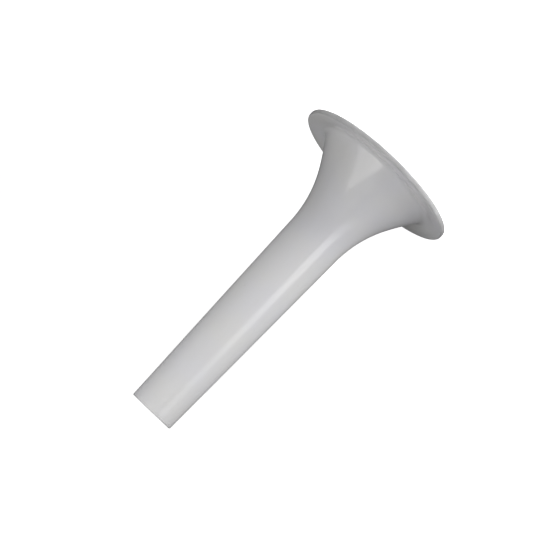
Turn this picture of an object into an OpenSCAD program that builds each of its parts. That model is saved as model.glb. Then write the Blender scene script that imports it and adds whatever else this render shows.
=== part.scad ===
// Sausage-stuffing tube for a meat grinder, in millimetres.
// One hollow moulding, round about Z: a flange, a horn that flares out of it and a tapered tube.
// The flange's front face, which seats against the grinder, lies on z = 0. The outlet is at the top.

/* [Flange] */
// Outer diameter of the flange
flange_d = 70; // [66:0.5:80]
// Thickness of the flange
flange_t = 2.5; // [2:0.1:3.5]
// Rounding of the two edges of the flange's rim
rim_r = 0.8; // [0.3:0.1:0.9]
// Width of the flange's flat land, from the rim inwards
land_w = 3.8; // [3:0.1:4.5]
// How far the back face dips from the land to the foot of the horn
dish = 0.8; // [0:0.1:1.2]

/* [Horn] */
// Height at which the tube turns into the concave flare
flare_top = 37; // [35:0.5:38]
// Radius of the flare
flare_r = 51; // [48:1:54]
// Slope from the axis at which the flare turns into the bell, in degrees
flare_end = 28.5; // [27:0.5:29]
// Radius of the bell, the wider curve between the flare and the flange
bell_r = 100; // [80:5:140]
// Fillet between the bell and the flange's back face
fillet_r = 2.5; // [1.5:0.1:3.5]
// Rounding of the mouth's edge on the front face
mouth_r = 0.6; // [0.3:0.1:1]

/* [Tube] */
// Overall length, from the front face to the outlet
length = 127; // [110:1:140]
// Outer diameter at the outlet
tip_d = 19; // [16:0.5:21]
// Taper of the tube on each side, in degrees
taper = 1.5; // [1:0.1:1.8]
// Wall thickness of the tube and the horn
wall = 2; // [1.5:0.1:2.5]
// Rounding of the outlet's inner and outer edges
lip_r = 0.5; // [0.2:0.1:0.7]

/* [Hidden] */
$fn = 180;

// Steps along the flare, along the bell and along each small rounded edge
flare_steps = 32;
bell_steps = 14;
edge_steps = 8;

// Centres of the flare's and the bell's arcs, outside the tube
flare_centre = [tube_radius(flare_top), flare_top] + flare_r * normal(taper);
bell_centre = flare_centre + (bell_r - flare_r) * normal(flare_end);

// Inner edge of the land, foot of the bell and slope of the dish between them
land_edge = [flange_d / 2 - land_w, flange_t];
bell_foot = bell_point(bell_r, flange_t - dish);
dish_angle = atan2(dish, land_edge.x - bell_foot.x);

// Centres of the two roundings that touch the bell
fillet_centre = move_to_bell(bell_foot + fillet_r * normal(dish_angle + 90));
mouth_centre = bell_point(bell_r + wall - mouth_r, mouth_r);

// Inner radius of the outlet
outlet_radius = tip_d / 2 - wall / cos(taper);

// Outer radius of the tapered tube at height z
function tube_radius(z) = tip_d / 2 + (length - z) * tan(taper);

// Outward unit vector, as [radius, height], of a wall that slopes by the angle a from the axis
function normal(a) = [cos(a), sin(a)];

// The point at height z on an arc of radius r about the bell's centre
function bell_point(r, z) = [bell_centre.x - sqrt(r * r - pow(bell_centre.y - z, 2)), z];

// Direction of a point as seen from the bell's centre
function bell_direction(point) =
    atan2(point.y - bell_centre.y, point.x - bell_centre.x) + 360;

// Where a fillet touches the bell, moved along the dish from the place above the bell's foot
function move_to_bell(start) =
    let (away = start - bell_centre, along = away * normal(dish_angle))
    let (gap = pow(bell_r - fillet_r, 2) - away * away)
    start - (along + sqrt(along * along + gap)) * normal(dish_angle);

// Points on an arc, from the direction a0 to the direction a1 as seen from its centre
function arc(centre, r, a0, a1, steps) =
    [for (i = [0:steps]) centre + r * normal(a0 + (a1 - a0) * i / steps)];

// The same without the two end points, which belong to the arcs beside it
function inner_arc(centre, r, a0, a1, steps) =
    [for (i = [1:steps - 1]) centre + r * normal(a0 + (a1 - a0) * i / steps)];

// Flange: the rim's two rounded edges
function rim_outline() = concat(
    arc([flange_d / 2 - rim_r, rim_r], rim_r, -90, 0, edge_steps),
    arc([flange_d / 2 - rim_r, flange_t - rim_r], rim_r, 0, 90, edge_steps));

// Dish: the land's inner edge, the fillet at the foot of the bell and the bell's outer wall
function dish_outline() =
    let (top = bell_direction(fillet_centre))
    concat([land_edge],
        arc(fillet_centre, fillet_r, 270 + dish_angle, top, edge_steps),
        inner_arc(bell_centre, bell_r, top, 180 + flare_end, bell_steps));

// Outlet: the rounded outer and inner edges of its lip
function lip_outline() =
    let (outer_r = tip_d / 2 - lip_r * (1 - sin(taper)) / cos(taper))
    let (inner_r = outlet_radius + lip_r * (1 + sin(taper)) / cos(taper))
    concat(
        arc([outer_r, length - lip_r], lip_r, taper, 90, edge_steps),
        arc([inner_r, length - lip_r], lip_r, 90, 180 + taper, edge_steps));

// Mouth: the bell's inner wall and the rounded inner edge of the front face
function mouth_outline() =
    let (end = bell_direction(mouth_centre))
    concat(
        inner_arc(bell_centre, bell_r + wall, 180 + flare_end, end, bell_steps),
        arc(mouth_centre, mouth_r, end, 270, edge_steps));

module stuffing_tube() {
    outer_flare = arc(flare_centre, flare_r, 180 + flare_end, 180 + taper, flare_steps);
    inner_flare = arc(flare_centre, flare_r + wall, 180 + taper, 180 + flare_end, flare_steps);
    color("gainsboro")
        rotate_extrude()
            polygon(concat(rim_outline(), dish_outline(), outer_flare,
                lip_outline(), inner_flare, mouth_outline()));
}

stuffing_tube();
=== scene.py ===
"""A moulded plastic sausage-stuffing tube, standing on its flange on a pale studio floor.

Lengths are in metres, in the CAD part's frame: the flange's front face lies on z = 0 and the
tube rises along +Z to its outlet.
"""

import math

import bpy
from mathutils import Matrix, Vector


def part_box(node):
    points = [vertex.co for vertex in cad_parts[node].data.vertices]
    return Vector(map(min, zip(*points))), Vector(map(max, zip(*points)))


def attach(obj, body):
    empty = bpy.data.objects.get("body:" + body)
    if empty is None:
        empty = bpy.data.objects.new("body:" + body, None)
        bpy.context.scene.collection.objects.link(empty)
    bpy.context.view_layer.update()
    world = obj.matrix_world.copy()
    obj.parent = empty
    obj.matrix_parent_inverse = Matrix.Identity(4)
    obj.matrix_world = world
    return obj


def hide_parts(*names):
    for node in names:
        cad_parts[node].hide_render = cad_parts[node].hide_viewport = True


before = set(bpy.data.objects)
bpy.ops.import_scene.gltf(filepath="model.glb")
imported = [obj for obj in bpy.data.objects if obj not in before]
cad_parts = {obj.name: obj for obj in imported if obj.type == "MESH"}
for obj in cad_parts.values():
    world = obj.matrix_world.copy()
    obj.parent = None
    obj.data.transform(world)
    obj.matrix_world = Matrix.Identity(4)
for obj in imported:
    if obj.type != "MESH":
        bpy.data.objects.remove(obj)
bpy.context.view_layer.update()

NODE = "stuffing_tube"
MM = 0.001

# Sizes that the CAD box gives.
FLANGE_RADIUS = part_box(NODE)[1].x
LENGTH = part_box(NODE)[1].z

# The rest of the outline, as in the CAD part. FLARE_END and TAPER are slopes from the axis.
FLANGE_THICKNESS = 2.5 * MM
RIM_ROUNDING = 0.8 * MM
LAND_WIDTH = 3.8 * MM
DISH = 0.8 * MM
FLARE_TOP = 37 * MM
FLARE_RADIUS = 51 * MM
FLARE_END = math.radians(28.5)
BELL_RADIUS = 100 * MM
FILLET = 2.5 * MM
MOUTH_ROUNDING = 0.6 * MM
TIP_RADIUS = 9.5 * MM
TAPER = math.radians(1.5)
WALL = 2 * MM
LIP_ROUNDING = 0.5 * MM

# Fineness of the lathed mesh: steps round the axis and along each arc, and the longest straight step.
SECTORS = 288
EDGE_STEPS = 10
FLARE_STEPS = 48
BELL_STEPS = 20
RING_GAP = 1.5 * MM

QUARTER = math.pi / 2

# Camera: where it stands, how it is turned, and its lens and sensor in millimetres.
CAMERA_PLACE = Vector((0, -0.4763, 0.1230))
CAMERA_YAW = math.radians(-0.1656)
CAMERA_PITCH = math.radians(-7.9072)
CAMERA_ROLL = math.radians(136.4609)
SENSOR_WIDTH = 36.0
LENS = 81.679

# ---------------------------------------------------------------- outline


def outward(angle):
    """Unit vector, as (radius, height), square to a wall that slopes by angle from the axis."""
    return Vector((math.cos(angle), math.sin(angle)))


def arc(centre, radius, start, end, steps):
    """Points of an arc, from direction start to direction end as seen from its centre."""
    turn = (end - start) / steps
    return [centre + radius * outward(start + turn * i) for i in range(steps + 1)]


def tube_radius(height):
    """Outer radius of the tapered tube at a height."""
    return TIP_RADIUS + (LENGTH - height) * math.tan(TAPER)


def flare_centre():
    """Centre of the flare's arc, which leaves the tube smoothly at FLARE_TOP."""
    return Vector((tube_radius(FLARE_TOP), FLARE_TOP)) + FLARE_RADIUS * outward(TAPER)


def bell_centre():
    """Centre of the wider arc below the flare, which takes over where the slope is FLARE_END."""
    return flare_centre() + (BELL_RADIUS - FLARE_RADIUS) * outward(FLARE_END)


def bell_point(radius, height):
    """The point at a height on an arc about the bell's centre."""
    centre = bell_centre()
    return Vector((centre.x - math.sqrt(radius ** 2 - (centre.y - height) ** 2), height))


def bell_direction(point):
    """Direction of a point as seen from the bell's centre, between half a turn and a whole one."""
    away = point - bell_centre()
    return math.atan2(away.y, away.x) + 2 * math.pi


def rim_outline():
    """The two rounded edges of the flange's rim."""
    radius = FLANGE_RADIUS - RIM_ROUNDING
    lower = Vector((radius, RIM_ROUNDING))
    upper = Vector((radius, FLANGE_THICKNESS - RIM_ROUNDING))
    return (arc(lower, RIM_ROUNDING, -QUARTER, 0, EDGE_STEPS)
            + arc(upper, RIM_ROUNDING, 0, QUARTER, EDGE_STEPS))


def dish_outline():
    """The flange's dished back face, the fillet at its foot and the bell above it."""
    land_edge = Vector((FLANGE_RADIUS - LAND_WIDTH, FLANGE_THICKNESS))
    foot = bell_point(BELL_RADIUS, FLANGE_THICKNESS - DISH)
    slope = math.atan2(DISH, land_edge.x - foot.x)
    face = outward(slope)
    start = foot + FILLET * outward(slope + QUARTER)
    away = start - bell_centre()
    along = away.dot(face)
    gap = (BELL_RADIUS - FILLET) ** 2 - away.length_squared
    centre = start - (along + math.sqrt(along ** 2 + gap)) * face
    top = bell_direction(centre)
    return ([land_edge] + arc(centre, FILLET, 3 * QUARTER + slope, top, EDGE_STEPS)
            + arc(bell_centre(), BELL_RADIUS, top, math.pi + FLARE_END, BELL_STEPS))


def lip_outline():
    """The rounded outer and inner edges of the outlet."""
    height = LENGTH - LIP_ROUNDING
    inner_edge = TIP_RADIUS - WALL / math.cos(TAPER)
    outer = TIP_RADIUS - LIP_ROUNDING * (1 - math.sin(TAPER)) / math.cos(TAPER)
    inner = inner_edge + LIP_ROUNDING * (1 + math.sin(TAPER)) / math.cos(TAPER)
    return (arc(Vector((outer, height)), LIP_ROUNDING, TAPER, QUARTER, EDGE_STEPS)
            + arc(Vector((inner, height)), LIP_ROUNDING, QUARTER, math.pi + TAPER, EDGE_STEPS))


def mouth_outline():
    """The bell's inner wall and the rounded inner edge of the front face."""
    centre = bell_point(BELL_RADIUS + WALL - MOUTH_ROUNDING, MOUTH_ROUNDING)
    end = bell_direction(centre)
    return (arc(bell_centre(), BELL_RADIUS + WALL, math.pi + FLARE_END, end, BELL_STEPS)
            + arc(centre, MOUTH_ROUNDING, end, 3 * QUARTER, EDGE_STEPS))


def with_even_rings(points):
    """The closed outline again, with no point twice and with long stretches cut into short ones."""
    rings = []
    # Points closer than this share of a gap count as one.
    same = 0.001
    for here, there in zip(points, points[1:] + points[:1]):
        parts = math.ceil((there - here).length / RING_GAP - same)
        rings += [here.lerp(there, i / parts) for i in range(parts)]
    return rings


def tube_outline():
    """The whole half section, as (radius, height) points round the wall."""
    centre = flare_centre()
    low, high = math.pi + FLARE_END, math.pi + TAPER
    outer_flare = arc(centre, FLARE_RADIUS, low, high, FLARE_STEPS)
    inner_flare = arc(centre, FLARE_RADIUS + WALL, high, low, FLARE_STEPS)
    return with_even_rings(rim_outline() + dish_outline() + outer_flare
                           + lip_outline() + inner_flare + mouth_outline())


# ------------------------------------------------------------------- mesh


def lathe(name, outline):
    """A closed mesh made by turning an outline about the Z axis."""
    vertices = []
    for sector in range(SECTORS):
        angle = 2 * math.pi * sector / SECTORS
        side = Vector((math.cos(angle), math.sin(angle)))
        vertices += [(p.x * side.x, p.x * side.y, p.y) for p in outline]
    count = len(outline)
    faces = []
    for sector in range(SECTORS):
        here = sector * count
        there = (sector + 1) % SECTORS * count
        for i in range(count):
            j = (i + 1) % count
            faces.append((here + i, there + i, there + j, here + j))
    mesh = bpy.data.meshes.new(name)
    mesh.from_pydata(vertices, [], faces)
    mesh.shade_smooth()
    piece = bpy.data.objects.new(name, mesh)
    bpy.context.scene.collection.objects.link(piece)
    return piece


def build_tube():
    """The moulded tube, which stands for the CAD node."""
    piece = lathe("moulded_tube", tube_outline())
    piece.data.materials.append(moulded_plastic())
    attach(piece, "root")
    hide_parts(NODE)


# -------------------------------------------------------------- materials


def new_material(name):
    """An empty node material, and short ways to add and link its nodes."""
    material = bpy.data.materials.new(name)
    material.use_nodes = True
    tree = material.node_tree
    tree.nodes.clear()
    return material, tree.nodes.new, tree.links.new


def cloud(node, link, place, scale, detail):
    """Soft noise between 0 and 1, with scale features in each metre of the piece."""
    texture = node("ShaderNodeTexNoise")
    texture.inputs["Scale"].default_value = scale
    texture.inputs["Detail"].default_value = detail
    link(place, texture.inputs["Vector"])
    return texture.outputs["Fac"]


def stretched(node, link, place, scale):
    """The places on the piece, scaled differently along each axis."""
    mapping = node("ShaderNodeMapping")
    mapping.inputs["Scale"].default_value = scale
    link(place, mapping.inputs["Vector"])
    return mapping.outputs["Vector"]


def ranged(node, link, value, span, results):
    """The value, moved from the span to the results and kept within them."""
    mapping = node("ShaderNodeMapRange")
    mapping.inputs["From Min"].default_value, mapping.inputs["From Max"].default_value = span
    mapping.inputs["To Min"].default_value, mapping.inputs["To Max"].default_value = results
    link(value, mapping.inputs["Value"])
    return mapping.outputs["Result"]


def blended(node, link, factor, first, second):
    """A colour between two others, each of them a colour or another node's output."""
    mix = node("ShaderNodeMix")
    mix.data_type = "RGBA"
    link(factor, mix.inputs["Factor"])
    for socket, colour in ((mix.inputs["A"], first), (mix.inputs["B"], second)):
        if isinstance(colour, tuple):
            socket.default_value = (*colour, 1)
        else:
            link(colour, socket)
    return mix.outputs["Result"]


def raised(node, link, height, distance, below=None):
    """A bumpy surface, on top of the one below."""
    bump = node("ShaderNodeBump")
    bump.inputs["Strength"].default_value = 1
    bump.inputs["Distance"].default_value = distance
    link(height, bump.inputs["Height"])
    if below:
        link(below, bump.inputs["Normal"])
    return bump.outputs["Normal"]


def rim_painted_shade(node, link, place):
    """How grey the flange's rim is painted, as painted shade: nothing on the faces, most at the very
    edge, in patches.
    """
    radius = node("ShaderNodeVectorMath")
    radius.operation = "LENGTH"
    link(stretched(node, link, place, (1, 1, 0)), radius.inputs[0])
    edge = ranged(node, link, radius.outputs["Value"], (FLANGE_RADIUS - 0.7 * MM, FLANGE_RADIUS), (0, 1))
    patches = ranged(node, link, cloud(node, link, place, 250, 3), (0.3, 0.7), (0.7, 1))
    # Painted shade: the rim is darkened in the colour, standing in for shade that the lights don't give
    # it.
    painted_shade = node("ShaderNodeMath")
    painted_shade.operation = "MULTIPLY"
    link(edge, painted_shade.inputs[0])
    link(patches, painted_shade.inputs[1])
    return painted_shade.outputs["Value"]


def plastic_colour(node, link, place):
    """Grey-white, faintly warmer and cooler in patches, with weak flow lines, tiny dark specks and
    painted shade on the flange's rim.
    """
    patches = ranged(node, link, cloud(node, link, place, 40, 3), (0.35, 0.65), (0, 1))
    flow = cloud(node, link, stretched(node, link, place, (600, 600, 20)), 1, 3)
    lines = ranged(node, link, flow, (0.55, 0.8), (0, 0.35))
    specks = ranged(node, link, cloud(node, link, place, 900, 1), (0.80, 0.84), (0, 0.4))
    base = blended(node, link, patches, (0.785, 0.783, 0.81), (0.795, 0.79, 0.785))
    lined = blended(node, link, lines, base, (0.76, 0.76, 0.755))
    # Painted shade: the flange's rim greyed towards its edge in place of shade from the lights.
    rim_shaded = blended(node, link, rim_painted_shade(node, link, place), lined, (0.47, 0.47, 0.47))
    return blended(node, link, specks, rim_shaded, (0.45, 0.43, 0.40))


def plastic_roughness(node, link, place):
    """Glossy, duller in patches and along fine lengthwise scuffs."""
    patches = cloud(node, link, place, 120, 4)
    scuffs = cloud(node, link, stretched(node, link, place, (2500, 2500, 60)), 1, 2)
    dull = node("ShaderNodeMath")
    dull.operation = "ADD"
    link(ranged(node, link, patches, (0.3, 0.7), (0.11, 0.17)), dull.inputs[0])
    link(ranged(node, link, scuffs, (0.66, 0.74), (0, 0.16)), dull.inputs[1])
    return dull.outputs["Value"]


def plastic_surface(node, link, place):
    """The mould's slight waviness, with fine orange peel on it."""
    waves = raised(node, link, cloud(node, link, place, 160, 1), 0.025 * MM)
    return raised(node, link, cloud(node, link, place, 1300, 2), 0.006 * MM, waves)


def moulded_plastic():
    """Glossy light grey-white moulded plastic, which lets a little light in."""
    material, node, link = new_material("moulded_plastic")
    place = node("ShaderNodeTexCoord").outputs["Object"]
    shader = node("ShaderNodeBsdfPrincipled")
    output = node("ShaderNodeOutputMaterial")
    shader.inputs["IOR"].default_value = 1.49
    shader.inputs["Subsurface Weight"].default_value = 0.05
    shader.inputs["Subsurface Radius"].default_value = (1, 1, 1)
    shader.inputs["Subsurface Scale"].default_value = 1.5 * MM
    link(plastic_colour(node, link, place), shader.inputs["Base Color"])
    link(plastic_roughness(node, link, place), shader.inputs["Roughness"])
    link(plastic_surface(node, link, place), shader.inputs["Normal"])
    link(shader.outputs["BSDF"], output.inputs["Surface"])
    return material


# ------------------------------------------------------------------ stage


def aim(place, target):
    """A matrix that stands at place with its -Z axis pointing at target."""
    turn = (target - place).to_track_quat("-Z", "Y")
    return Matrix.Translation(place) @ turn.to_matrix().to_4x4()


def sky(azimuth, elevation):
    """Unit vector towards a light: azimuth 0 is the camera's side and 90 is the -X side."""
    side, rise = math.radians(azimuth), math.radians(elevation)
    flat = Vector((-math.sin(side), -math.cos(side), 0))
    return flat * math.cos(rise) + Vector((0, 0, math.sin(rise)))


def softbox(name, place, target, width, height, brightness, turn=0):
    """An evenly bright rectangle of light, hidden from the camera, turned by turn degrees."""
    light = bpy.data.lights.new(name, "AREA")
    light.shape = "RECTANGLE"
    light.size = width
    light.size_y = height
    light.energy = brightness * math.pi * width * height
    lamp = bpy.data.objects.new(name, light)
    bpy.context.scene.collection.objects.link(lamp)
    lamp.matrix_world = aim(place, target) @ Matrix.Rotation(math.radians(turn), 4, "Z")
    lamp.visible_camera = False


def panel(name, target, azimuth, elevation, distance, width, height, brightness):
    """A softbox that faces a target and covers width by height degrees as seen from it."""
    reach = 2 * distance
    softbox(name, target + distance * sky(azimuth, elevation), target,
            reach * math.tan(math.radians(width / 2)),
            reach * math.tan(math.radians(height / 2)), brightness)


def make_lights():
    """Plain soft studio light, most of it from the camera's side and up through the table."""
    middle, tip = Vector((0, 0, 0.06)), Vector((0, 0, 0.11))
    above = middle + 0.6 * sky(-39.6, 51.8)
    # Makes the slanting highlight on the bell, with a brighter band along its far edge.
    band = Vector((-0.0933, 0.0273, 0.0633))
    softbox("softbox_above", above, middle, 0.40, 0.344, 2.1, 28)
    softbox("softbox_above_edge", above + band, middle + band, 0.40, 0.112, 2.0, 28)
    panel("softbox_tip", tip, -10, 20, 0.3, 50, 40, 0.52)
    panel("softbox_tip_left", tip, -60, 15, 0.3, 50, 40, 0.40)
    panel("softbox_tip_right", tip, 60, 15, 0.3, 50, 40, 0.25)
    panel("softbox_top", tip, 0, 85, 0.3, 60, 60, 0.2)
    panel("table_light_side", middle, 70, -35, 0.5, 60, 30, 1.85)
    panel("table_light_front", middle, 10, -35, 0.5, 60, 30, 0.45)
    panel("table_light_below", middle, 0, -75, 0.5, 90, 40, 3.7)
    # Makes the bright line along the tube, which fades towards the outlet.
    strip = 0.45 * sky(44, 0)
    for low, high, brightness in ((-50, 30, 3.2), (30, 80, 2.2), (80, 160, 1.2)):
        centre = Vector((0, 0, (low + high) / 2 * MM))
        softbox("strip_light", strip + centre, centre, 0.22, (high - low) * MM, brightness)


def make_world():
    """Dim, even surroundings behind the lights."""
    world = bpy.data.worlds.new("studio")
    world.use_nodes = True
    bpy.context.scene.world = world
    background = world.node_tree.nodes["Background"]
    background.inputs["Color"].default_value = (1, 1, 1, 1)
    background.inputs["Strength"].default_value = 0.07


def stage_white(name, glow):
    """A plain white that glows, so that it stays white in any light."""
    material, node, link = new_material(name)
    shader = node("ShaderNodeBsdfPrincipled")
    output = node("ShaderNodeOutputMaterial")
    shader.inputs["Base Color"].default_value = (0.9, 0.9, 0.9, 1)
    shader.inputs["Roughness"].default_value = 1
    shader.inputs["Specular IOR Level"].default_value = 0
    shader.inputs["Emission Color"].default_value = (1, 1, 1, 1)
    shader.inputs["Emission Strength"].default_value = glow
    link(shader.outputs["BSDF"], output.inputs["Surface"])
    return material


def show_to_camera_only(piece):
    """The piece stays out of the tube's reflections and lets the lights through."""
    piece.visible_diffuse = False
    piece.visible_glossy = False
    piece.visible_transmission = False
    piece.visible_shadow = False


def make_floor():
    """The white translucent table top, lit from below."""
    bpy.ops.mesh.primitive_plane_add(size=8, location=(0, 0, -0.1 * MM))
    floor = bpy.context.object
    floor.name = "table_top"
    floor.data.materials.append(stage_white("table_white", 0.95))
    show_to_camera_only(floor)


def make_backdrop():
    """The white surroundings behind the table."""
    bpy.ops.mesh.primitive_uv_sphere_add(radius=3.5, location=(0, 0, 0))
    backdrop = bpy.context.object
    backdrop.name = "backdrop"
    backdrop.data.materials.append(stage_white("backdrop_white", 1))
    show_to_camera_only(backdrop)


def make_camera():
    """The photograph's viewpoint: beside the tube, a little above the flange, and rolled."""
    pitch, yaw, roll = CAMERA_PITCH, CAMERA_YAW, CAMERA_ROLL
    level = Vector((math.cos(yaw), math.sin(yaw), 0))
    forward = Vector((-math.sin(yaw), math.cos(yaw), 0))
    ahead = forward * math.cos(pitch) + Vector((0, 0, math.sin(pitch)))
    above = level.cross(ahead)
    right = level * math.cos(roll) - above * math.sin(roll)
    up = level * math.sin(roll) + above * math.cos(roll)
    data = bpy.data.cameras.new("camera")
    data.sensor_width = SENSOR_WIDTH
    data.lens = LENS
    camera = bpy.data.objects.new("camera", data)
    bpy.context.scene.collection.objects.link(camera)
    turn = Matrix((right, up, -ahead)).transposed().to_4x4()
    camera.matrix_world = Matrix.Translation(CAMERA_PLACE) @ turn
    bpy.context.scene.camera = camera


bpy.context.scene.view_settings.view_transform = "Standard"
make_camera()
make_world()
make_lights()
make_floor()
make_backdrop()
build_tube()
